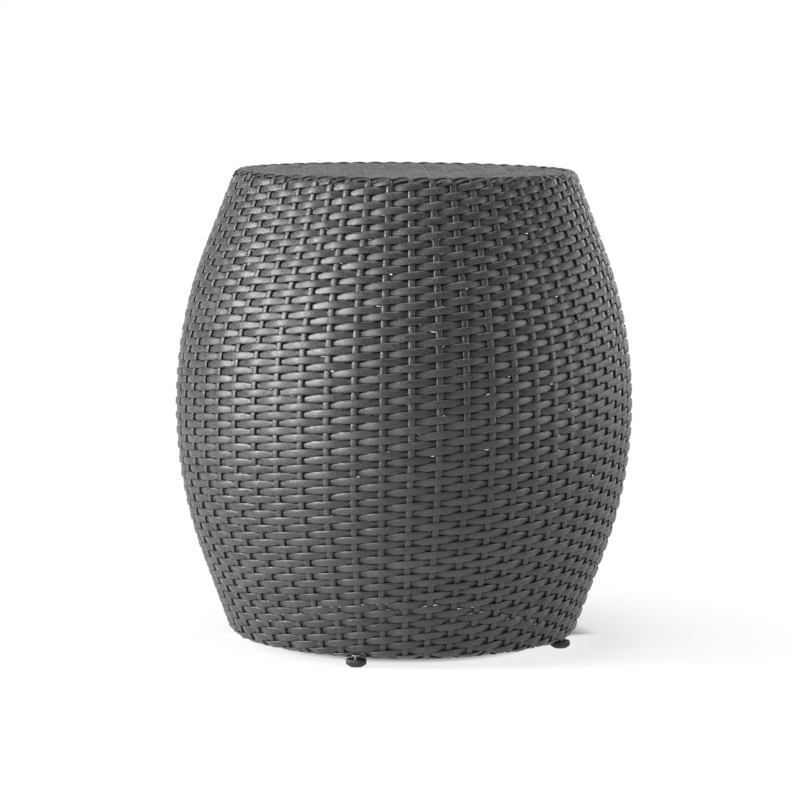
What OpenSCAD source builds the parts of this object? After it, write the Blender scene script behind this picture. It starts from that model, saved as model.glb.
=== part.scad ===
// Round wicker side table: a barrel of woven resin strips over a tube frame, on four levelling feet.
// Sizes are in millimetres. Z is up, and the origin is on the floor below the middle of the table.

/* [Overall] */
// Height from the floor to the top of the weave
table_h = 508; // [440:1:600]
// Diameter across the widest part of the barrel
belly_d = 489; // [450:1:540]
// Height of the widest part above the floor
belly_z = 257; // [235:1:280]
// Upright curve of the wall: its radius, as a share of the largest that fits between the rims
bend_share = 0.896; // [0.6:0.001:0.98]
// Diameter across the top rim
top_d = 369; // [330:1:410]
// Diameter across the base rim
base_d = 376; // [330:1:410]
// Height of the lower edge of the weave above the floor
base_lift = 10; // [9.6:0.1:20]

/* [Weave] */
// Thickness of a resin strip
strip_t = 1.2; // [0.8:0.1:1.6]
// Width of the strips that run round the barrel and across the top
weaver_w = 8; // [7:0.1:9]
// Open gap between two weavers that lie side by side
weaver_gap = 1.7; // [1.5:0.1:2.4]
// Width of the strips that run up the wall and along the top
stake_w = 7; // [5:0.1:9]
// Number of stakes round the wall
stake_count = 48; // [40:2:56]
// Number of lengths of strip in one row of the wall
row_lengths = 4; // [2:1:6]
// Distance from one stake to the next in the top
top_stake_pitch = 22.7; // [16:0.1:30]
// Turn of the top weave in its plane, in degrees
top_turn = 4; // [-10:1:10]
// Gap between strips that cross, and between a strip and the frame
weave_gap = 0.15; // [0.1:0.05:0.2]

/* [Frame] */
// Diameter of the tube of the top ring
top_tube_d = 16; // [14:1:20]
// Diameter of the tube of the base ring
base_tube_d = 20; // [18:1:24]
// Wall of the ring tubes
ring_wall = 1.5; // [1:0.1:2]
// Width of the flat bar of the ribs
rib_w = 14; // [10:1:18]
// Thickness of the flat bar of the ribs
rib_t = 5; // [3:0.5:6]
// Diameter of the tube of the beams under the top
beam_d = 10; // [8:1:11]
// Wall of the beam tubes
beam_wall = 1.2; // [0.8:0.1:1.6]
// Diameter of the rod of the hoops
hoop_d = 8; // [6:1:10]
// Distance of the lower and upper hoops from the middle hoop
hoop_step = 120; // [90:1:150]

/* [Feet] */
// Turn of the feet and ribs about the table's axis, in degrees
foot_turn = -15.8; // [-45:0.1:45]
// Diameter of the pad
pad_d = 21.6; // [18:0.1:26]
// Height of the pad
pad_h = 8; // [7.6:0.1:8]
// Number of flutes round the pad
flute_count = 24; // [16:1:28]
// Diameter of the screw
screw_d = 6; // [5:0.5:8]
// Length of the screw above its head
screw_l = 18; // [16:0.5:20]
// Diameter of the screw's round head, held in the pad
screw_head_d = 11; // [10:0.1:13]
// Radial clearance of the screw in its insert and in the pad
screw_fit = 0.05; // [0.02:0.01:0.08]
// Depth that the threaded insert reaches up from the underside of the base tube
insert_l = 12; // [10:0.5:14]
// Diameter of the insert's body
insert_d = 9; // [8.5:0.1:10]
// Diameter of the insert's flange
insert_flange_d = 13; // [12:0.1:14]

/* [Hidden] */
$fn = 96;

wicker_colour = [0.30, 0.30, 0.31];
frame_colour = [0.16, 0.16, 0.17];
zinc_colour = [0.72, 0.73, 0.75];
pad_colour = [0.09, 0.09, 0.10];

// Layers of the weave: a stake swings by weave_swing to each side of the weavers' own surface
weave_swing = strip_t + weave_gap;
weave_half = weave_swing + strip_t / 2;

// Rims: the weave wraps each ring tube, first the stakes' ends and then the binding
top_rim_r = top_tube_d / 2 + 2 * weave_gap + 2 * strip_t;
base_rim_r = base_tube_d / 2 + 2 * weave_gap + 2 * strip_t;
top_ring_r = top_d / 2 - top_rim_r;
base_ring_r = base_d / 2 - base_rim_r;
top_ring_z = table_h - top_rim_r;
base_ring_z = base_lift + base_rim_r;
bind_gap = strip_t + 2 * weave_gap;

// Middle surface of the wall's weave: one arc, and a straight line from each of its ends to a ring
top_wrap_r = top_rim_r - weave_half;
base_wrap_r = base_rim_r - weave_half;
top_rise = top_ring_z - belly_z;
base_drop = belly_z - base_ring_z;
belly_mid_r = belly_d / 2 - weave_half;
function largest_bend(rise, set_back, wrap_r) =
    (rise * rise + set_back * set_back - wrap_r * wrap_r) / (2 * (set_back - wrap_r));
mid_bend = bend_share * min(
    largest_bend(top_rise, belly_mid_r - top_ring_r, top_wrap_r),
    largest_bend(base_drop, belly_mid_r - base_ring_r, base_wrap_r)
);
bend_x = belly_mid_r - mid_bend;
function lean(rise, ring_r, wrap_r) =
    atan2(rise, ring_r - bend_x) - acos((mid_bend - wrap_r) / norm([rise, ring_r - bend_x]));
function straight(rise, ring_r, wrap_r) =
    sqrt(rise * rise + pow(ring_r - bend_x, 2) - pow(mid_bend - wrap_r, 2));
top_lean = lean(top_rise, top_ring_r, top_wrap_r);
base_lean = lean(base_drop, base_ring_r, base_wrap_r);
top_straight = straight(top_rise, top_ring_r, top_wrap_r);
base_straight = straight(base_drop, base_ring_r, base_wrap_r);
function arc_length(degrees, r) = r * degrees * PI / 180;
top_arc = arc_length(top_lean, mid_bend);
base_arc = arc_length(base_lean, mid_bend);

// A place on the wall: s runs up its middle surface from the belly, and out is measured outwards
function wall_tilt(s) = max(-base_lean, min(top_lean, s * 180 / (PI * mid_bend)));
function past_arc(s) = s > top_arc ? s - top_arc : s < -base_arc ? s + base_arc : 0;
function wall_point(s, out) =
    let (tilt = wall_tilt(s), run = past_arc(s), r = mid_bend + out)
    [bend_x + r * cos(tilt) - run * sin(tilt), belly_z + r * sin(tilt) + run * cos(tilt)];

// Rows of weavers: the last stakes' bends stay clear of the ring tubes
weaver_pitch = weaver_w + weaver_gap;
row_flat = weaver_w / 2 - strip_t / 2 + weave_gap / 2;
function rim_reach(tube_d, wrap_r) =
    sqrt(pow(tube_d / 2 + weave_gap, 2) - pow(wrap_r - weave_half, 2)) + row_flat;
wall_top_s = top_arc + top_straight - rim_reach(top_tube_d, top_wrap_r);
wall_base_s = -base_arc - base_straight + rim_reach(base_tube_d, base_wrap_r);
row_count = floor((wall_top_s - wall_base_s) / weaver_pitch) + 1;
row_first_s = (wall_top_s + wall_base_s - (row_count - 1) * weaver_pitch) / 2;
function row_s(i) = row_first_s + i * weaver_pitch;

// Flat weave of the top: the weavers swing over and under the stakes, and end over the top ring
top_swing = (strip_t + weave_gap) / (1 - stake_w / top_stake_pitch);
top_half = top_swing + strip_t / 2;
top_mid_z = table_h - top_half;
top_weaver_end_r = top_ring_r + strip_t;
top_weaver_rest_r = top_ring_r - top_tube_d / 3;
top_weaver_end_z = top_ring_z + top_wrap_r;
crossing_r = top_ring_r - top_tube_d / 2 - stake_w / 2;
top_weaver_reach = floor((top_weaver_rest_r - weaver_w) / weaver_pitch);
top_stake_reach = floor((crossing_r - 2 * weaver_pitch) / top_stake_pitch);

// Ribs touch the weave from inside, hoops touch the ribs, and beams lie below the top's weave
rib_out = -weave_half - 2 * weave_gap - rib_t / 2;
hoop_out = rib_out - rib_t / 2 - weave_gap - hoop_d / 2;
beam_z = table_h - 2 * top_half - weave_gap - beam_d / 2;
rib_steps = 16;
rib_count = 8;

// Feet
flute_r = 1.2;
pad_chamfer = 1.2;
screw_head_h = 3;
screw_head_z = 2.5;
flange_t = 1;
feet_per_table = 4;
stakes_groups = 4;
weaver_groups = 6;
join_places = 6;
binding_start = 90;
stake_end_angle = 54;
wrap_steps = 4;

function polar(r, a) = [r * cos(a), r * sin(a)];

// Section of a weaver strip, with thinned edges
module strip_section(width) {
    edge = strip_t / 2;
    half_w = width / 2;
    half_t = strip_t / 2;
    polygon([
        [0, -half_w], [half_t, -half_w + edge], [half_t, half_w - edge],
        [0, half_w], [-half_t, half_w - edge], [-half_t, -half_w + edge]
    ]);
}

module torus(ring_r, ring_z, tube_d) {
    translate([0, 0, ring_z]) rotate_extrude() translate([ring_r, 0]) circle(d = tube_d);
}

module tube_section(outer_d, wall) {
    difference() {
        circle(d = outer_d);
        circle(d = outer_d - 2 * wall);
    }
}

module at_foot(k) {
    rotate([0, 0, foot_turn + (k - 1) * 360 / feet_per_table]) translate([base_ring_r, 0, 0]) children();
}

// Ring tubes

module top_ring() {
    color(frame_colour)
        translate([0, 0, top_ring_z])
            rotate_extrude() translate([top_ring_r, 0]) tube_section(top_tube_d, ring_wall);
}

module base_ring() {
    color(frame_colour) difference() {
        translate([0, 0, base_ring_z])
            rotate_extrude() translate([base_ring_r, 0]) tube_section(base_tube_d, ring_wall);
        for (k = [1:feet_per_table])
            at_foot(k) cylinder(d = insert_d + 2 * screw_fit, h = base_ring_z);
    }
}

// Hoops: round rods inside the ribs

module hoop(s) {
    place = wall_point(s, hoop_out);
    color(frame_colour) torus(place[0], place[1], hoop_d);
}

// Ribs: one bent flat bar each, coped onto the ring tubes

function reversed(list) = [for (i = [len(list) - 1:-1:0]) list[i]];

function rib_side(out) = concat(
    [wall_point(-base_arc - base_straight, out)],
    [for (j = [0:rib_steps]) wall_point(-base_arc + (base_arc + top_arc) * j / rib_steps, out)],
    [wall_point(top_arc + top_straight, out)]
);

module rib(k) {
    color(frame_colour)
        rotate([0, 0, foot_turn + (k - 1) * 360 / rib_count])
            difference() {
                rotate([90, 0, 0])
                    linear_extrude(rib_w, center = true)
                        polygon(concat(rib_side(rib_out + rib_t / 2), reversed(rib_side(rib_out - rib_t / 2))));
                torus(top_ring_r, top_ring_z, top_tube_d);
                torus(base_ring_r, base_ring_z, base_tube_d);
            }
}

// Beams under the top: one from side to side, and two halves from front to back

module beam_tube(length) {
    rotate([90, 0, 90]) linear_extrude(length) tube_section(beam_d, beam_wall);
}

module top_beam() {
    color(frame_colour) difference() {
        translate([-top_ring_r, 0, beam_z]) beam_tube(2 * top_ring_r);
        torus(top_ring_r, top_ring_z, top_tube_d);
    }
}

module top_cross_beams() {
    color(frame_colour) for (turn = [90, 270]) difference() {
        rotate([0, 0, turn]) translate([0, 0, beam_z]) beam_tube(top_ring_r);
        torus(top_ring_r, top_ring_z, top_tube_d);
        translate([-beam_d, 0, beam_z]) rotate([0, 90, 0]) cylinder(d = beam_d, h = 2 * beam_d);
    }
}

// Weave of the wall: weavers are level rows, and each stake swings in and out of them in turn. A row's
// lengths of strip meet behind stakes.

function arc_turn(length, r) = length * 180 / (PI * r);
function row_join(i) = (i % 2 + 2 * (floor(i / 2) % join_places)) * 360 / stake_count;

module wall_weavers(group) {
    first = floor((group - 1) * row_count / weaver_groups);
    last = floor(group * row_count / weaver_groups) - 1;
    color(wicker_colour) for (i = [first:last], k = [0:row_lengths - 1])
        let (place = wall_point(row_s(i), 0), join = arc_turn(2 * weave_gap, place[0]))
        rotate([0, 0, row_join(i) + k * 360 / row_lengths])
            rotate_extrude(angle = 360 / row_lengths - join)
                translate(place) rotate(wall_tilt(row_s(i))) strip_section(weaver_w);
}

function swing(i, turn) = (i + turn) % 2 == 0 ? weave_swing : -weave_swing;

function top_wrap(out) = [
    for (j = [0:wrap_steps])
        let (a = top_lean + (stake_end_angle - top_lean) * j / wrap_steps)
        [top_ring_r, top_ring_z] + polar(top_wrap_r + out, a)
];

function base_wrap(out) = [
    for (j = [0:wrap_steps])
        let (a = -stake_end_angle + (stake_end_angle - base_lean) * j / wrap_steps)
        [base_ring_r, base_ring_z] + polar(base_wrap_r + out, a)
];

function stake_side(turn, out) = concat(
    base_wrap(out),
    [for (i = [0:row_count - 1], end = [-1, 1]) wall_point(row_s(i) + end * row_flat, swing(i, turn) + out)],
    top_wrap(out)
);

module wall_stake(turn) {
    rotate([90, 0, 0])
        linear_extrude(stake_w, center = true)
            polygon(concat(stake_side(turn, strip_t / 2), reversed(stake_side(turn, -strip_t / 2))));
}

module wall_stakes(group) {
    first = floor((group - 1) * stake_count / stakes_groups);
    last = floor(group * stake_count / stakes_groups) - 1;
    color(wicker_colour) for (k = [first:last])
        rotate([0, 0, k * 360 / stake_count]) wall_stake(k);
}

// Weave of the top: straight stakes, and weavers that swing over one and under the next

function half_chord(r, off) = sqrt(r * r - off * off);

function top_weaver_points(j, lift) =
    let (
        off = abs(j) * weaver_pitch + weaver_w / 2,
        reach = off < crossing_r ? floor((half_chord(crossing_r, off) - stake_w / 2) / top_stake_pitch) : -1,
        end_z = top_weaver_end_z - top_mid_z + lift,
        end_x = half_chord(top_weaver_end_r, off),
        rest_x = half_chord(top_weaver_rest_r, off)
    )
    concat(
        [[-end_x, end_z], [-rest_x, end_z]],
        reach < 0 ? [] : [
            for (k = [-reach:reach]) [k * top_stake_pitch, (j + k) % 2 == 0 ? top_swing + lift : lift - top_swing]
        ],
        [[rest_x, end_z], [end_x, end_z]]
    );

module top_weavers() {
    color(wicker_colour) rotate([0, 0, top_turn]) for (j = [-top_weaver_reach:top_weaver_reach])
        translate([0, j * weaver_pitch, top_mid_z])
            rotate([90, 0, 0])
                linear_extrude(weaver_w, center = true)
                    polygon(concat(
                        top_weaver_points(j, strip_t / 2),
                        reversed(top_weaver_points(j, -strip_t / 2))
                    ));
}

module top_stakes() {
    color(wicker_colour) rotate([0, 0, top_turn]) for (k = [-top_stake_reach:top_stake_reach]) {
        edge_x = abs(k) * top_stake_pitch + stake_w / 2;
        last = floor((half_chord(crossing_r, edge_x) - weaver_w / 2) / weaver_pitch);
        translate([k * top_stake_pitch, 0, top_mid_z])
            rotate([90, 0, 0])
                linear_extrude(2 * last * weaver_pitch + weaver_w, center = true)
                    rotate(90) strip_section(stake_w);
    }
}

// Bindings: one strip wrapped along each rim, over the ends of the stakes

module binding_section(rim_r, from, to) {
    reach = 2 * rim_r;
    middle = (from + to) / 2;
    intersection() {
        difference() {
            circle(r = rim_r);
            circle(r = rim_r - strip_t);
        }
        polygon([[0, 0], polar(reach, from), polar(reach, middle), polar(reach, to)]);
    }
}

module rim_binding() {
    color(wicker_colour)
        translate([0, 0, top_ring_z])
            rotate_extrude() translate([top_ring_r, 0]) binding_section(top_rim_r, top_lean, binding_start);
}

module base_binding() {
    color(wicker_colour) difference() {
        translate([0, 0, base_ring_z])
            rotate_extrude()
                translate([base_ring_r, 0]) binding_section(base_rim_r, -binding_start - base_lean, -base_lean);
        for (k = [1:feet_per_table])
            at_foot(k) cylinder(d = insert_flange_d + 2 * bind_gap, h = base_ring_z);
    }
}

// Feet: a threaded insert in the base tube, a screw with a round head, and a fluted pad round the head

module foot_insert(k) {
    seat_z = base_ring_z - base_tube_d / 2;
    color(zinc_colour) at_foot(k) difference() {
        union() {
            translate([0, 0, seat_z - flange_t]) cylinder(d = insert_flange_d, h = flange_t);
            translate([0, 0, seat_z - flange_t]) cylinder(d = insert_d, h = flange_t + insert_l);
        }
        cylinder(d = screw_d + 2 * screw_fit, h = seat_z + 2 * insert_l);
    }
}

module foot_stud(k) {
    color(zinc_colour) at_foot(k) union() {
        translate([0, 0, screw_head_z]) cylinder(d = screw_head_d, h = screw_head_h);
        translate([0, 0, screw_head_z]) cylinder(d = screw_d, h = screw_head_h + screw_l);
    }
}

module foot_pad(k) {
    color(pad_colour) at_foot(k) difference() {
        union() {
            cylinder(d1 = pad_d - 2 * pad_chamfer, d2 = pad_d, h = pad_chamfer);
            translate([0, 0, pad_chamfer]) cylinder(d = pad_d, h = pad_h - pad_chamfer);
        }
        for (a = [0:360 / flute_count:359])
            rotate([0, 0, a]) translate([pad_d / 2 + flute_r / 2, 0, -1]) cylinder(r = flute_r, h = pad_h + 2);
        translate([0, 0, screw_head_z - screw_fit])
            cylinder(d = screw_head_d + 2 * screw_fit, h = screw_head_h + 2 * screw_fit);
        translate([0, 0, screw_head_z]) cylinder(d = screw_d + 2 * screw_fit, h = pad_h);
    }
}

top_ring();
base_ring();
hoop(-hoop_step);  // hoop_lower
hoop(0);  // hoop_middle
hoop(hoop_step);  // hoop_upper
rib(1);  // rib_1
rib(2);  // rib_2
rib(3);  // rib_3
rib(4);  // rib_4
rib(5);  // rib_5
rib(6);  // rib_6
rib(7);  // rib_7
rib(8);  // rib_8
top_beam();
top_cross_beams();
wall_weavers(1);  // wall_weavers_1
wall_weavers(2);  // wall_weavers_2
wall_weavers(3);  // wall_weavers_3
wall_weavers(4);  // wall_weavers_4
wall_weavers(5);  // wall_weavers_5
wall_weavers(6);  // wall_weavers_6
wall_stakes(1);  // wall_stakes_1
wall_stakes(2);  // wall_stakes_2
wall_stakes(3);  // wall_stakes_3
wall_stakes(4);  // wall_stakes_4
top_weavers();
top_stakes();
rim_binding();
base_binding();
foot_insert(1);  // foot_insert_1
foot_insert(2);  // foot_insert_2
foot_insert(3);  // foot_insert_3
foot_insert(4);  // foot_insert_4
foot_stud(1);  // foot_stud_1
foot_stud(2);  // foot_stud_2
foot_stud(3);  // foot_stud_3
foot_stud(4);  // foot_stud_4
foot_pad(1);  // foot_pad_1
foot_pad(2);  // foot_pad_2
foot_pad(3);  // foot_pad_3
foot_pad(4);  // foot_pad_4
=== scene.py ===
import math
import bpy
from mathutils import Matrix, Vector


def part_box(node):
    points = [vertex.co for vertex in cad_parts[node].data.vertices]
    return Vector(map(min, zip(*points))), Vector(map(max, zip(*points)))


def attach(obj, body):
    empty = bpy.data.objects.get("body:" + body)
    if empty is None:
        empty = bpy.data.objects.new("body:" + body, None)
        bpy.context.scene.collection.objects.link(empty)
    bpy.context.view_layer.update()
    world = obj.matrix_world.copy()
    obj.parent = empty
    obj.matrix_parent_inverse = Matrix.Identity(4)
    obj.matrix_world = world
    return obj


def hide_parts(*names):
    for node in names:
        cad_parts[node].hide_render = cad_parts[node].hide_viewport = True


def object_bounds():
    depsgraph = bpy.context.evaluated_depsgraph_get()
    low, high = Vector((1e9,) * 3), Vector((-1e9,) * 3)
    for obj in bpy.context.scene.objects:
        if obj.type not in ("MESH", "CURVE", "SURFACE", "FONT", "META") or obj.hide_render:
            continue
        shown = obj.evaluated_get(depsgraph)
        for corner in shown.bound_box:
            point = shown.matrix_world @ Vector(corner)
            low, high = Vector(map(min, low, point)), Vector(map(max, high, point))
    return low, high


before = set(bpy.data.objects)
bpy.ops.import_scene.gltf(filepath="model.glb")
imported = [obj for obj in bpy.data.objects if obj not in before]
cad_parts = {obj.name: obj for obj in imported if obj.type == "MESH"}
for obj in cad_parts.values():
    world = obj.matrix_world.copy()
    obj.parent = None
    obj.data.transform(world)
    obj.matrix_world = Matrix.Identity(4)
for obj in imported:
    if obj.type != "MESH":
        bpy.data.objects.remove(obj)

cad_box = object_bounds()


# Tube frame
# Two rings of bent tube, eight flat ribs, three round hoops and a cross of tube under the top are
# welded together and powder-coated black, with a fine grain. The weave hides nearly all of it.
class Wire:
    def __init__(self, tree, socket=None):
        self.tree = tree
        self.socket = socket

    def pick(self, sockets, key):
        if isinstance(key, int):
            return sockets[key]
        return next(socket for socket in sockets if socket.name == key and socket.enabled)

    def add(self, kind, settings=None, sockets=None, out=0):
        node = self.tree.nodes.new(kind)
        for name, value in (settings or {}).items():
            setattr(node, name, value)
        for key, value in (sockets or {}).items():
            slot = self.pick(node.inputs, key)
            if isinstance(value, Wire):
                self.tree.links.new(value.socket, slot)
            else:
                slot.default_value = value
        return Wire(self.tree, self.pick(node.outputs, out) if node.outputs else None)

    def beside(self, out):
        return Wire(self.tree, self.pick(self.socket.node.outputs, out))

    def sum_with(self, operation, *values):
        return self.add("ShaderNodeMath", {"operation": operation}, dict(enumerate(values)))

    def __add__(self, other):
        return self.sum_with("ADD", self, other)

    __radd__ = __add__

    def __sub__(self, other):
        return self.sum_with("SUBTRACT", self, other)

    def __rsub__(self, other):
        return self.sum_with("SUBTRACT", other, self)

    def __mul__(self, other):
        return self.sum_with("MULTIPLY", self, other)

    __rmul__ = __mul__

    def __truediv__(self, other):
        return self.sum_with("DIVIDE", self, other)

    def __pow__(self, other):
        return self.sum_with("POWER", self, other)

    def above(self, other):
        return self.sum_with("GREATER_THAN", self, other)

    def at_least(self, other):
        return self.sum_with("MAXIMUM", self, other)

    def at_most(self, other):
        return self.sum_with("MINIMUM", self, other)

    def clamp(self, low, high):
        return self.at_least(low).at_most(high)

    def one(self, operation):
        return self.sum_with(operation, self)


def new_finish(name):
    material = bpy.data.materials.new(name)
    material.use_nodes = True
    material.node_tree.nodes.clear()
    return material, Wire(material.node_tree)


def grain_of(start, place, scale, detail=2.0, rough=0.5):
    return start.add("ShaderNodeTexNoise", None,
                     {"Vector": place, "Scale": scale, "Detail": detail, "Roughness": rough})


def two_tone(start, amount, dark, light):
    return start.add("ShaderNodeMix", {"data_type": "RGBA"},
                     {"Factor": amount, "A": (*dark, 1.0), "B": (*light, 1.0)}, out="Result")


def coat_surface(start, sockets, height, strength, distance):
    relief = start.add("ShaderNodeBump", None,
                       {"Strength": strength, "Distance": distance, "Height": height})
    shader = start.add("ShaderNodeBsdfPrincipled", None, {**sockets, "Normal": relief})
    start.add("ShaderNodeOutputMaterial", None, {"Surface": shader})


coat_dark = (0.012, 0.012, 0.013)
coat_light = (0.030, 0.030, 0.032)
coat_grain_height = 0.0001
powder_coat, start = new_finish("black powder coat")
place = start.add("ShaderNodeTexCoord", out="Object")
speckle = grain_of(start, place, 1500.0)
cloud = grain_of(start, place, 60.0)
coat_surface(start, {
    "Base Color": two_tone(start, speckle, coat_dark, coat_light),
    "Roughness": cloud * 0.15 + 0.42,
}, speckle, 0.3, coat_grain_height)

frame_parts = ["top_ring", "base_ring", "hoop_lower", "hoop_middle", "hoop_upper",
               "top_beam", "top_cross_beams", *("rib_%d" % number for number in range(1, 9))]
for name in frame_parts:
    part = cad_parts[name]
    part.data.materials.clear()
    part.data.materials.append(powder_coat)


# Threaded inserts
# Four steel bushes with a flange, zinc-plated, are pressed up into the base ring from below. Each
# takes the screw of one foot.
zinc_dark = (0.30, 0.30, 0.31)
zinc_light = (0.42, 0.42, 0.43)
zinc_grain_height = 0.00005
zinc, start = new_finish("zinc plate")
place = start.add("ShaderNodeTexCoord", out="Object")
cloud = grain_of(start, place, 220.0, 3.0)
speckle = grain_of(start, place, 2500.0)
coat_surface(start, {
    "Base Color": two_tone(start, cloud, zinc_dark, zinc_light),
    "Metallic": 1.0,
    "Roughness": cloud * 0.2 + 0.28,
}, speckle, 0.15, zinc_grain_height)

for number in range(1, 5):
    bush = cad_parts["foot_insert_%d" % number]
    bush.data.materials.clear()
    bush.data.materials.append(zinc)


# Stakes of the wall
# Fifty-six flat strips of dark grey resin stand round the frame, a little unevenly. They carry the
# weave, and they are stiffer and more rounded than the strips woven through them.
resin_dark = (0.010, 0.010, 0.011)
resin_light = (0.056, 0.056, 0.058)
resin_grain_height = 0.0006
resin, start = new_finish("dark grey resin")
along = start.add("ShaderNodeSeparateXYZ", None, {0: start.add("ShaderNodeUVMap", {"uv_map": "strip"})})
across = along.beside("Y")
shade = start.add("ShaderNodeAttribute", {"attribute_name": "shade"}, out="Fac")


def strip_grain(along_scale, across_scale, detail):
    place = start.add("ShaderNodeCombineXYZ", None,
                      {0: along * along_scale, 1: across * across_scale, 2: shade * 37.0})
    return grain_of(start, place, 1.0, detail, 0.6)


lines = strip_grain(45.0, 2400.0, 3.0)
mottle = strip_grain(640.0, 760.0, 2.0)
cloud = strip_grain(60.0, 140.0, 2.0)
tone = (shade * 0.4 + lines * 0.4 + mottle * 0.9 + cloud * 0.8 - 0.75).clamp(0.0, 1.0)
coat_surface(start, {
    "Base Color": two_tone(start, tone, resin_dark, resin_light),
    "Roughness": (mottle * 1.5 - 0.42).clamp(0.14, 0.65),
}, lines * 0.1 + mottle * 0.7 + cloud * 0.2, 1.0, resin_grain_height)

# The wall's side view is a round belly and a straight run on to the wrap round each ring. Along it,
# up is measured from the belly, and a strip's surface stands out square to it.
strip_layer = 0.00075
weave_depth = 0.0023
belly_z = 0.257
bend_share = 0.896
top_low, top_high = (Vector(corner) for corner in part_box("top_ring"))
base_low, base_high = (Vector(corner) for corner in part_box("base_ring"))
top_tube_r = (top_high.z - top_low.z) / 2
base_tube_r = (base_high.z - base_low.z) / 2
top_ring_r = top_high.x - top_tube_r
base_ring_r = base_high.x - base_tube_r
top_ring_z = (top_high.z + top_low.z) / 2
base_ring_z = (base_high.z + base_low.z) / 2
belly_r = cad_box[1][0] - weave_depth
wrap_top_r = top_tube_r + strip_layer
wrap_base_r = base_tube_r + strip_layer


def largest_bend(rise, set_back, wrap_r):
    return (rise ** 2 + set_back ** 2 - wrap_r ** 2) / (2 * (set_back - wrap_r))


bend_r = bend_share * min(
    largest_bend(top_ring_z - belly_z, belly_r - top_ring_r, wrap_top_r),
    largest_bend(belly_z - base_ring_z, belly_r - base_ring_r, wrap_base_r),
)
bend_x = belly_r - bend_r


def lean_and_run(rise, ring_r, wrap_r):
    reach = ring_r - bend_x
    span = math.hypot(rise, reach)
    lean = math.atan2(rise, reach) - math.acos((bend_r - wrap_r) / span)
    return lean, math.sqrt(span ** 2 - (bend_r - wrap_r) ** 2)


top_lean, top_run = lean_and_run(top_ring_z - belly_z, top_ring_r, wrap_top_r)
base_lean, base_run = lean_and_run(belly_z - base_ring_z, base_ring_r, wrap_base_r)
top_end = bend_r * top_lean + top_run
base_end = bend_r * base_lean + base_run


def combine(x, y, z):
    wires = [value for value in (x, y, z) if isinstance(value, Wire)]
    return wires[0].add("ShaderNodeCombineXYZ", None, {0: x, 1: y, 2: z})


def vectors(operation, first, second=None):
    sockets = {0: first} if second is None else {0: first, 1: second}
    return first.add("ShaderNodeVectorMath", {"operation": operation}, sockets)


def scaled(vector, amount):
    return vector.add("ShaderNodeVectorMath", {"operation": "SCALE"}, {0: vector, "Scale": amount})


def wall_place(up, out, turn):
    lean = (up / bend_r).clamp(-base_lean, top_lean)
    run_up = (up - bend_r * top_lean).clamp(0.0, top_run)
    run_down = (up + bend_r * base_lean).clamp(-base_run, 0.0)
    run = run_up + run_down
    over = ((up - top_end) / wrap_top_r).at_least(0.0)
    under = ((up + base_end) / wrap_base_r).at_most(0.0)
    tilt = lean + over + under
    wrap_r = up.above(0.0) * (wrap_top_r - wrap_base_r) + wrap_base_r
    cos_lean = lean.one("COSINE")
    sin_lean = lean.one("SINE")
    cos_tilt = tilt.one("COSINE")
    sin_tilt = tilt.one("SINE")
    cos_turn = turn.one("COSINE")
    sin_turn = turn.one("SINE")
    radius = cos_lean * (bend_r - wrap_r) - sin_lean * run + cos_tilt * (wrap_r + out) + bend_x
    height = sin_lean * (bend_r - wrap_r) + cos_lean * run + sin_tilt * (wrap_r + out) + belly_z
    place = combine(radius * cos_turn, radius * sin_turn, height)
    return place, combine(cos_tilt * cos_turn, cos_tilt * sin_turn, sin_tilt)


stake_count = 56
first_stake = 0.62
uneven_once = math.radians(2.7)
uneven_twice = math.radians(1.7)
uneven_thrice = math.radians(1.2)


def stake_turn(number):
    even = (number + first_stake) * (2 * math.pi / stake_count)
    uneven = even.one("COSINE") * uneven_once
    uneven = uneven + (even * 2.0).one("COSINE") * uneven_twice
    uneven = uneven + (even * 3.0).one("SINE") * uneven_thrice
    return even + uneven - math.pi / 2


def hill(turn, middle, spread):
    edge = math.cos(spread)
    return (((turn - middle).one("COSINE") - edge) / (1.0 - edge)).clamp(0.0, 1.0)


# The stakes lean sideways: above the belly on the left, and below it on the right and in front.
upper_lean = math.radians(4.2)
right_lean = math.radians(2.3)
front_lean = math.radians(-0.95)


def leaning(turn, up):
    high = ((up - 0.08) / 0.12).clamp(0.0, 1.0) * hill(turn, math.radians(-152), math.radians(42))
    right = hill(turn, math.radians(-30), math.radians(50)) * right_lean
    front = hill(turn, math.radians(-105), math.radians(60)) * front_lean
    low = ((up * -1.0 - 0.03) / 0.17).clamp(0.0, 1.0) * (right + front)
    return turn + high * upper_lean + low


def bent_over(phase, sharpness):
    wave = (phase * math.pi).one("COSINE").one("ARCSINE") * sharpness
    return wave.clamp(-math.pi / 2, math.pi / 2).one("SINE")


def through(index, stations):
    place = index * 0.0 + stations[0]
    for count, (low, high) in enumerate(zip(stations, stations[1:])):
        if high != low:
            place = place + (index - float(count)).clamp(0.0, 1.0) * (high - low)
    return place


def wander(start, along, number, seed):
    place = combine(along, number * 7.3, number * 0.0 + seed)
    return (grain_of(start, place, 1.0, 1.0) - 0.5) * 2.0


def new_tree(label, sizes):
    tree = bpy.data.node_groups.new(label, "GeometryNodeTree")
    tree.interface.new_socket("Geometry", in_out="OUTPUT", socket_type="NodeSocketGeometry")
    for name, value in sizes.items():
        kind = "NodeSocketInt" if isinstance(value, int) else "NodeSocketFloat"
        tree.interface.new_socket(name, in_out="INPUT", socket_type=kind).default_value = value
    start = Wire(tree)
    group = start.add("NodeGroupInput").socket.node
    return start, {name: Wire(tree, group.outputs[name]) for name in sizes}


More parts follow.
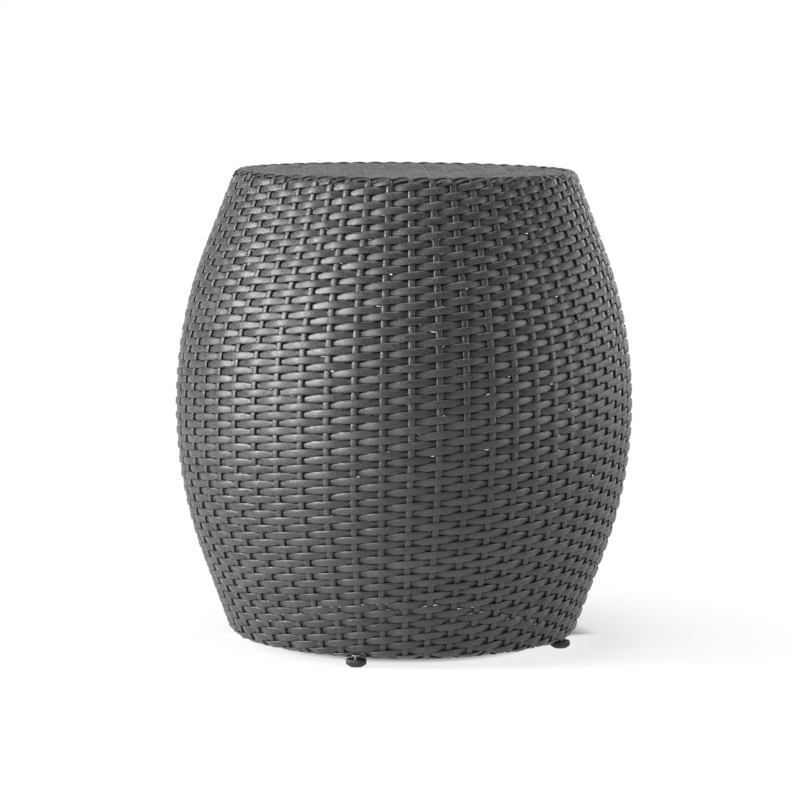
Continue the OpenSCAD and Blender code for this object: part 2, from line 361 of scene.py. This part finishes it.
# A strip is a tube of rings and corners. The lay function says where a ring's middle is, which way
# is out, how far the strip is rolled, and what share of its width it has there.
def strip_tree(label, sizes, lay, finish):
    start, size = new_tree(label, sizes)
    tube = start.add("GeometryNodeMeshCylinder", {"fill_type": "NGON"},
                     {"Vertices": size["Corners"], "Side Segments": size["Rings"] - 1.0})
    seeds = start.add("GeometryNodeMeshLine", None, {"Count": size["Strips"]})
    laid = start.add("GeometryNodeInstanceOnPoints", None, {"Points": seeds, "Instance": tube})
    strips = start.add("GeometryNodeRealizeInstances", None, {"Geometry": laid})
    index = start.add("GeometryNodeInputIndex")
    in_strip = size["Corners"] * size["Rings"]
    number = ((index + 0.5) / in_strip).one("FLOOR")
    local = index - number * in_strip
    ring = ((local + 0.5) / size["Corners"]).one("FLOOR")
    corner = (ring * size["Corners"] - local) / size["Corners"] * (2 * math.pi)

    near = 0.3
    centre, normal, roll, share = lay(start, size, number, ring)
    ahead = lay(start, size, number, ring + near)[0]
    behind = lay(start, size, number, ring - near)[0]
    way = vectors("NORMALIZE", vectors("SUBTRACT", ahead, behind))
    side = vectors("NORMALIZE", vectors("CROSS_PRODUCT", normal, way))
    face = vectors("CROSS_PRODUCT", way, side)
    edge = corner.one("COSINE")
    flat = corner.one("SINE")
    half_width = size["Width"] * 0.5 * share
    across = edge.one("SIGN") * edge.one("ABSOLUTE") ** size["Edge"] * half_width
    out = flat.one("SIGN") * flat.one("ABSOLUTE") ** size["Crown"] * size["Thickness"] * 0.5
    cos_roll = roll.one("COSINE")
    sin_roll = roll.one("SINE")
    sideways = scaled(side, across * cos_roll - out * sin_roll)
    outwards = scaled(face, across * sin_roll + out * cos_roll)
    place = vectors("ADD", centre, vectors("ADD", sideways, outwards))
    seed = start.add("FunctionNodeRandomValue", {"data_type": "FLOAT"},
                     {"ID": number, "Seed": 11}, out="Value")
    marked = start.add("GeometryNodeStoreNamedAttribute", {"data_type": "FLOAT", "domain": "POINT"},
                       {"Geometry": strips, "Name": "shade", "Value": seed})
    spread = start.add("GeometryNodeFieldOnDomain", {"data_type": "FLOAT_VECTOR", "domain": "POINT"},
                       {"Value": combine(ring * size["Step"] + number * 1.7, across + out * 0.5, 0.0)})
    charted = start.add("GeometryNodeStoreNamedAttribute", {"data_type": "FLOAT2", "domain": "CORNER"},
                        {"Geometry": marked, "Name": "strip", "Value": spread})
    put = start.add("GeometryNodeSetPosition", None, {"Geometry": charted, "Position": place})
    smooth = start.add("GeometryNodeSetShadeSmooth", None, {"Geometry": put, "Shade Smooth": True})
    whole = start.add("GeometryNodeRealizeInstances", None, {"Geometry": smooth})
    dressed = start.add("GeometryNodeSetMaterial", None, {"Geometry": whole, "Material": finish})
    start.add("NodeGroupOutput", None, {0: dressed})
    return start.tree


def bake(name, tree, settings):
    holder = bpy.data.objects.new(name, bpy.data.meshes.new(name))
    bpy.context.scene.collection.objects.link(holder)
    rule = holder.modifiers.new("rule", "NODES")
    rule.node_group = tree
    inputs = [item for item in tree.interface.items_tree if item.in_out == "INPUT"]
    sockets = {item.name: item.identifier for item in inputs}
    for label, value in settings.items():
        rule[sockets[label]] = value
    graph = bpy.context.evaluated_depsgraph_get()
    mesh = bpy.data.meshes.new_from_object(holder.evaluated_get(graph), preserve_all_data_layers=True,
                                           depsgraph=graph)
    holder.modifiers.remove(rule)
    holder.data = mesh
    mesh.name = name
    return holder


stake_groups = 4
stake_rows = 66
stake_steps = 5
weaver_starts = 18
row_pitch = 0.0079
row_slope = 0.002
climb = row_pitch * weaver_starts / stake_count
row_start = -base_end - 0.0139
stake_from = -base_end - 0.011
stake_to = top_end + 0.005


def row_askew(turn):
    return turn.one("COSINE") * row_slope


def lay_stake(start, size, number, ring):
    stake = size["First stake"] + number
    up = ring / (size["Rings"] - 1.0) * (stake_to - stake_from) + stake_from
    turn = stake_turn(stake)
    row = (up - size["Row start"] - row_askew(turn)) / row_pitch - stake * (climb / row_pitch)
    swing = bent_over(row + stake, 1.5) * size["Swing"] * -1.0
    sway = wander(start, up * 14.0, stake, 3.0) * size["Wander"]
    place, normal = wall_place(up, swing, leaning(turn, up) + sway)
    return place, normal, swing * 0.0, 1.0


stake_tree = strip_tree("stakes of the wall", {
    "Strips": stake_count // stake_groups, "Rings": stake_rows * stake_steps + 1, "Corners": 10,
    "Width": 0.0070, "Thickness": 0.0026, "Edge": 0.75, "Crown": 1.0, "Step": row_pitch / stake_steps,
    "First stake": 0.0, "Row start": 0.0, "Swing": 0.00028, "Wander": 0.003,
}, lay_stake, resin)
for group in range(stake_groups):
    stakes = bake("wall_stakes_%d_strips" % (group + 1), stake_tree,
                  {"First stake": float(group * stake_count // stake_groups), "Row start": row_start})
    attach(stakes, "table")
    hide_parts("wall_stakes_%d" % (group + 1))


# Weavers of the wall
# Eighteen long strips start at the base and climb side by side, over three times round the barrel.
# Each bends over one stake and behind the next, a little higher and lower in turn, and is pinched
# narrower where it lies behind a stake. The lowest rows of the rear lie level and tight.
weaver_bands = 6
weaver_steps = 10
stake_gap = 0.0275
stakes_apart = stake_count / weaver_starts
weaver_crossings = math.floor((top_end + 0.003 - row_start) / climb)
band_crossings = math.ceil(weaver_crossings / weaver_bands)
rise_fade = 8.0
tuck_run = 0.006
most_tucked = 0.38
tight_to = 0.12
tight_run = 0.02


def lay_weaver(start, size, number, ring):
    first = ((number * stakes_apart + number) / 2.0).one("FLOOR") * 2.0 - number + 1.0
    crossing = first + size["First crossing"] + ring / weaver_steps
    wave = bent_over(crossing + number, 1.1)
    turn = stake_turn(crossing)
    row = (crossing - number * stakes_apart) * climb + size["Row start"]
    level = row + row_askew(turn)
    low = ((tight_to - base_end - level) / tight_run).clamp(0.0, 1.0)
    rear = (turn.one("SINE") * 2.0 + 1.0).clamp(0.0, 1.0)
    loose = 1.0 - low * rear
    up = level + wave * (1.0 - level * rise_fade) * size["Rise"] * loose
    tucked = ((level + base_end + tuck_run) / -tuck_run).clamp(0.0, most_tucked)
    swing = wave * size["Swing"] * (1.0 - tucked)
    stray = wander(start, crossing * 0.45, number, 1.0) * size["Wander"]
    roll = wander(start, crossing * 0.8, number, 5.0) * size["Roll"]
    place, normal = wall_place(up + stray, swing, leaning(turn, up))
    behind = (wave * -1.0).clamp(0.0, 1.0)
    return place, normal, roll, 1.0 - behind * behind * size["Narrowing"] * loose


weaver_tree = strip_tree("weavers of the wall", {
    "Strips": weaver_starts, "Rings": band_crossings * weaver_steps + 1, "Corners": 10,
    "Width": 0.0083, "Thickness": 0.0019, "Edge": 0.6, "Crown": 0.85, "Step": stake_gap / weaver_steps,
    "First crossing": 0.0, "Row start": 0.0, "Swing": 0.0020, "Rise": 0.0004, "Wander": 0.0003,
    "Roll": 0.15, "Narrowing": 0.34,
}, lay_weaver, resin)
for band in range(weaver_bands):
    first_crossing = band * band_crossings
    crossings = min(band_crossings, weaver_crossings - first_crossing)
    weavers = bake("wall_weavers_%d_strips" % (band + 1), weaver_tree,
                   {"First crossing": float(first_crossing), "Rings": crossings * weaver_steps + 1,
                    "Row start": row_start})
    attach(weavers, "table")
    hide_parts("wall_weavers_%d" % (band + 1))


# Woven top
# Sixteen strips run from front to back and forty-three from side to side, over and under in plain
# weave. Their ends bend down over the top ring and are held under the rim.
top_turn = math.radians(1.5)
top_stake_pitch = 0.0217
top_weaver_pitch = 0.0080
top_z = top_ring_z + wrap_top_r - 0.0006
top_end_r = top_ring_r + 0.003
flat_from_rim = 0.003
flat_run = 0.005


def top_place(along, offset, swing, lengthwise):
    x, y = (offset, along) if lengthwise else (along, offset)
    cos_turn = math.cos(top_turn)
    sin_turn = math.sin(top_turn)
    radius = (x * x + y * y).one("SQRT")
    fade = ((top_ring_r - flat_from_rim - radius) / flat_run).clamp(0.0, 1.0)
    past = (radius - top_ring_r).clamp(-wrap_top_r * 0.95, wrap_top_r * 0.95)
    crown = (wrap_top_r ** 2 - past * past).one("SQRT") + top_ring_z
    outside = radius.above(top_ring_r)
    height = (swing * fade + top_z).at_least(crown) * (1.0 - outside) + crown * outside
    return combine(x * cos_turn - y * sin_turn, x * sin_turn + y * cos_turn, height)


def along_top(size, ring, offset):
    reach = (top_end_r ** 2 - offset * offset).one("SQRT")
    return (ring / (size["Rings"] - 1.0) * 2.0 - 1.0) * reach


def lay_top_weaver(start, size, number, ring):
    row = number - (size["Strips"] - 1.0) * 0.5
    offset = row * top_weaver_pitch
    along = along_top(size, ring, offset)
    swing = bent_over(along / top_stake_pitch + row + 0.5, 1.2) * size["Swing"]
    stray = wander(start, along * 18.0, number, 2.0) * size["Wander"]
    roll = wander(start, along * 30.0, number, 6.0) * size["Roll"]
    place = top_place(along, offset + stray, swing, False)
    return place, combine(along * 0.0, 0.0, 1.0), roll, 1.0


def lay_top_stake(start, size, number, ring):
    row = number - (size["Strips"] - 1.0) * 0.5
    offset = row * top_stake_pitch
    along = along_top(size, ring, offset)
    swing = bent_over(along / top_weaver_pitch + row + 0.5, 1.5) * size["Swing"] * -1.0
    stray = wander(start, along * 12.0, number, 4.0) * size["Wander"]
    place = top_place(along, offset + stray, swing, True)
    return place, combine(along * 0.0, 0.0, 1.0), along * 0.0, 1.0


top_weaver_tree = strip_tree("weavers of the top", {
    "Strips": 43, "Rings": 129, "Corners": 10, "Width": 0.0086, "Thickness": 0.0015, "Edge": 0.6,
    "Crown": 0.85, "Step": 0.0027, "Swing": 0.0014, "Wander": 0.0003, "Roll": 0.1,
}, lay_top_weaver, resin)
top_weavers = bake("top_weavers_strips", top_weaver_tree, {})
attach(top_weavers, "table")
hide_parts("top_weavers")

top_stake_tree = strip_tree("stakes of the top", {
    "Strips": 16, "Rings": 221, "Corners": 10, "Width": 0.0076, "Thickness": 0.0021, "Edge": 0.6,
    "Crown": 0.9, "Step": 0.0016, "Swing": 0.0004, "Wander": 0.0005,
}, lay_top_stake, resin)
top_stakes = bake("top_stakes_strips", top_stake_tree, {})
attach(top_stakes, "table")
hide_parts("top_stakes")


# Rolled borders
# At each rim the stakes bend over sideways: each runs along the ring past the next two stakes and
# is tucked in under the one that follows, which makes a row of low slanted humps.
border_lifts = (-0.0008, 0.0006, 0.0014, 0.0006, -0.0010)
stake_hump = -0.0005


def lay_border(start, size, number, ring):
    part = ring / (size["Rings"] - 1.0)
    passed = number + part * size["Reach"]
    turn = stake_turn(passed)
    hump = (passed * (2 * math.pi)).one("COSINE") * stake_hump
    lift = through(part * (len(border_lifts) - 1.0), border_lifts) + hump
    rolled = part * (size["Roll to"] - size["Roll from"]) + size["Roll from"]
    sway = wander(start, part * 2.0, number, 7.0) * size["Wander"]
    up = (rolled * size["Wrap"] + size["Start"] + sway) * size["Side"]
    place, normal = wall_place(up, lift, leaning(turn, up))
    return place, normal, part * 0.0 + size["Shingle"], 1.0


border_tree = strip_tree("rolled border", {
    "Strips": stake_count, "Rings": 21, "Corners": 10, "Width": 0.0072, "Thickness": 0.0015,
    "Edge": 0.6, "Crown": 0.9, "Step": 0.0025, "Reach": 2.4, "Roll from": math.radians(22),
    "Roll to": math.radians(88), "Wrap": wrap_top_r, "Start": top_end, "Side": 1.0,
    "Wander": 0.0012, "Shingle": -0.10,
}, lay_border, resin)
rim_border = bake("rim_border_strips", border_tree, {})
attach(rim_border, "table")
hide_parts("rim_binding")

base_border = bake("base_border_strips", border_tree,
                   {"Wrap": wrap_base_r, "Start": base_end, "Side": -1.0, "Roll from": math.radians(62),
                    "Roll to": math.radians(135), "Shingle": 0.16})
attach(base_border, "table")
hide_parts("base_binding")


# Foot screws
# Each foot has a zinc-plated screw, six millimetres thick, with a round flat head. The head turns
# inside the pad and the thread turns in the insert.
def turned_tree(label, sizes, outline, finish):
    start, size = new_tree(label, sizes)
    tube = start.add("GeometryNodeMeshCylinder", {"fill_type": "NGON"},
                     {"Vertices": size["Corners"], "Side Segments": size["Rings"] - 1.0})
    index = start.add("GeometryNodeInputIndex")
    ring = ((index + 0.5) / size["Corners"]).one("FLOOR")
    angle = (ring * size["Corners"] - index) / size["Corners"] * (2 * math.pi)
    radius, height = outline(size, ring, angle)
    place = combine(angle.one("COSINE") * radius + size["Centre x"],
                    angle.one("SINE") * radius + size["Centre y"], height)
    put = start.add("GeometryNodeSetPosition", None, {"Geometry": tube, "Position": place})
    smooth = start.add("GeometryNodeSetShadeSmooth", None, {"Geometry": put, "Shade Smooth": True})
    corner = start.add("GeometryNodeInputMeshEdgeAngle", out="Unsigned Angle")
    crisp = start.add("GeometryNodeSetShadeSmooth", {"domain": "EDGE"},
                      {"Geometry": smooth, "Selection": corner.above(0.6), "Shade Smooth": False})
    whole = start.add("GeometryNodeRealizeInstances", None, {"Geometry": crisp})
    dressed = start.add("GeometryNodeSetMaterial", None, {"Geometry": whole, "Material": finish})
    start.add("NodeGroupOutput", None, {0: dressed})
    return start.tree


# Radius and height of each turned step, from the bottom up.
head_steps = ((0.0052, 0.0), (0.0055, 0.0003), (0.0055, 0.0027), (0.0052, 0.0030), (0.0029, 0.0030))


def screw_outline(size, ring, angle):
    radii, heights = zip(*head_steps)
    head = through(ring, radii)
    height = through(ring, heights) + (ring - 4.0).at_least(0.0) * size["Ring step"]
    thread = ((height / size["Thread pitch"] - angle / (2 * math.pi)) * (2 * math.pi)).one("COSINE")
    depth = size["Thread depth"] * 0.5
    shank = thread * depth + (size["Shank radius"] - depth)
    tip = size["Length"] - height + size["Shank radius"] * 0.7
    in_shank = ring.above(4.5)
    return head * (1.0 - in_shank) + shank.at_most(tip) * in_shank, height + size["Head z"]


screw_tree = turned_tree("foot screw", {
    "Corners": 32, "Rings": 149, "Centre x": 0.0, "Centre y": 0.0, "Head z": 0.0025, "Length": 0.021,
    "Shank radius": 0.0030, "Thread pitch": 0.001, "Thread depth": 0.0006, "Ring step": 0.000125,
}, screw_outline, zinc)
for number in range(1, 5):
    low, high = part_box("foot_stud_%d" % number)
    centre_x = (low[0] + high[0]) / 2
    centre_y = (low[1] + high[1]) / 2
    screw = bake("foot_screw_%d_threaded" % number, screw_tree,
                 {"Centre x": centre_x, "Centre y": centre_y, "Head z": low[2]})
    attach(screw, "foot_%d_screw" % number)
    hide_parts("foot_stud_%d" % number)


# Foot pads
# A round pad of black moulded plastic, fluted for the fingers and bevelled towards the floor, is
# snapped over the head of each screw and turns round it.
plastic_dark = (0.008, 0.008, 0.009)
plastic_light = (0.020, 0.020, 0.021)
plastic_grain_height = 0.00008
plastic, start = new_finish("black moulded plastic")
place = start.add("ShaderNodeTexCoord", out="Object")
speckle = grain_of(start, place, 1800.0, 3.0)
cloud = grain_of(start, place, 120.0)
coat_surface(start, {
    "Base Color": two_tone(start, speckle, plastic_dark, plastic_light),
    "Roughness": cloud * 0.2 + 0.34,
}, speckle, 0.25, plastic_grain_height)

# Radius and height of each moulded step: up the outside, then down inside the socket of the head.
pad_steps = (
    (0.0066, 0.0), (0.0070, 0.0002), (0.0105, 0.0026), (0.0108, 0.0031), (0.0108, 0.0070),
    (0.0105, 0.0076), (0.0099, 0.0080), (0.0040, 0.0080), (0.0036, 0.0077), (0.0036, 0.0059),
    (0.0059, 0.0058), (0.0059, 0.0023), (0.0003, 0.0022),
)


def pad_outline(size, ring, angle):
    radii, heights = zip(*pad_steps)
    fluted = ring.above(0.5) * (1.0 - ring.above(5.5))
    wave = (angle * size["Flutes"]).one("COSINE") * 0.5 + 0.5
    radius = through(ring, radii) - wave * wave * fluted * size["Flute depth"]
    return radius, through(ring, heights)


pad_tree = turned_tree("foot pad", {
    "Corners": 192, "Rings": len(pad_steps), "Centre x": 0.0, "Centre y": 0.0, "Flutes": 24.0,
    "Flute depth": 0.0006,
}, pad_outline, plastic)
for number in range(1, 5):
    low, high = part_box("foot_pad_%d" % number)
    centre_x = (low[0] + high[0]) / 2
    centre_y = (low[1] + high[1]) / 2
    pad = bake("foot_pad_%d_fluted" % number, pad_tree, {"Centre x": centre_x, "Centre y": centre_y})
    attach(pad, "foot_%d_pad" % number)
    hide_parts("foot_pad_%d" % number)


# Studio
# The table stands on a plain white floor in soft light: a strong light on its left, weaker ones in
# front, on its right and behind it, and one above. The camera stands well back and looks slightly
# down. What shines sees a white backdrop only behind the table, so its flanks are brighter.
lamp_distance = 2.4
lamps = (
    ("left light", -70, 18, (0.8, 1.9), 122.0),
    ("front light", -42, 10, (0.45, 1.6), 26.0),
    ("right light", 88, 12, (1.8, 1.4), 35.0),
    ("rear light", 145, 16, (0.5, 1.4), 8.0),
    ("upper light", 20, 75, (1.2, 1.2), 30.0),
)
middle = Vector((0.0, 0.0, belly_z))
for name, turn, rise, size, power in lamps:
    turn = math.radians(turn)
    rise = math.radians(rise)
    lamp = bpy.data.lights.new(name, "AREA")
    lamp.shape = "RECTANGLE"
    lamp.size, lamp.size_y = size
    lamp.energy = power
    holder = bpy.data.objects.new(name, lamp)
    bpy.context.scene.collection.objects.link(holder)
    flat = lamp_distance * math.cos(rise)
    away = Vector((flat * math.sin(turn), -flat * math.cos(turn), lamp_distance * math.sin(rise)))
    holder.location = middle + away
    holder.rotation_euler = (-away).to_track_quat("-Z", "Y").to_euler()

white = (1.0, 1.0, 1.0, 1.0)
floor_size = 12.0
floor_corners = [(x * floor_size, y * floor_size, 0.0) for x, y in ((-1, -1), (1, -1), (1, 1), (-1, 1))]
floor_mesh = bpy.data.meshes.new("floor")
floor_mesh.from_pydata(floor_corners, [], [(0, 1, 2, 3)])
floor = bpy.data.objects.new("floor", floor_mesh)
bpy.context.scene.collection.objects.link(floor)

# The floor is lit under the table and in its shadow. Round the table, the camera and what shines see it
# mixed with a white glow, which is painted light. Close round the base the glow paints out the contact
# shadow under the front edge. A little further out it is weaker, so the table's shadow still shows, and
# further out again it turns the floor plain white.
white_floor, start = new_finish("white floor")
floor_shader = start.add("ShaderNodeBsdfPrincipled", None,
                         {"Base Color": (0.90, 0.90, 0.90, 1.0), "Roughness": 0.9})
floor_glow = start.add("ShaderNodeEmission", None, {"Color": white, "Strength": 1.0})
seen = start.add("ShaderNodeLightPath", out="Is Camera Ray")
mirrored = seen.beside("Is Glossy Ray")
through_glass = seen.beside("Is Transmission Ray")
place = start.add("ShaderNodeTexCoord", out="Object")
reach = vectors("LENGTH", place).beside("Value")
rearward = start.add("ShaderNodeSeparateXYZ", None, {0: place}, out="Y")
under_rear = (rearward / 0.04).clamp(0.0, 1.0) * 0.07
# Painted light: from just inside the base's edge the floor glows pale over the table's contact shadow.
glow_over_contact_shadow = ((reach - under_rear - 0.12) / 0.03).clamp(0.0, 1.0) * 0.82
shadow = ((reach - 0.17) / 0.05).clamp(0.0, 1.0) * 0.16
far_white = ((reach - 0.24) / 0.2).clamp(0.0, 1.0) * 0.34
shown_white = (seen + mirrored + through_glass).clamp(0.0, 1.0) * (glow_over_contact_shadow - shadow + far_white)
floor_mix = start.add("ShaderNodeMixShader", None, {0: shown_white, 1: floor_shader, 2: floor_glow})
start.add("ShaderNodeOutputMaterial", None, {"Surface": floor_mix})
floor.data.materials.append(white_floor)

room_light = 0.12
studio = bpy.data.worlds.new("studio")
bpy.context.scene.world = studio
studio.use_nodes = True
studio.node_tree.nodes.clear()
start = Wire(studio.node_tree)
seen = start.add("ShaderNodeLightPath", out="Is Camera Ray")
mirrored = seen.beside("Is Glossy Ray")
through_glass = seen.beside("Is Transmission Ray")
rearward = start.add("ShaderNodeSeparateXYZ", None,
                     {0: start.add("ShaderNodeTexCoord", out="Generated")}, out="Y")
behind_table = ((rearward - 0.6) / 0.35).clamp(0.0, 1.0)
shown_white = (seen + through_glass).clamp(0.0, 1.0).at_least(mirrored * behind_table)
backdrop = start.add("ShaderNodeBackground", None,
                     {"Color": white, "Strength": shown_white * (1.0 - room_light) + room_light})
start.add("ShaderNodeOutputWorld", None, {"Surface": backdrop})
bpy.context.scene.view_settings.view_transform = "Standard"

camera = bpy.data.objects.new("camera", bpy.data.cameras.new("camera"))
bpy.context.scene.collection.objects.link(camera)
camera.data.sensor_width = 36.0
camera.data.lens = 165.9
camera.data.clip_end = 50.0
camera.location = (-0.0043, -3.941, 0.690)
look_down = 0.1087
camera_roll = math.radians(0.42)
aim = Matrix.Rotation(math.pi / 2 - look_down, 3, "X") @ Matrix.Rotation(camera_roll, 3, "Z")
camera.rotation_euler = aim.to_euler()
bpy.context.scene.camera = camera
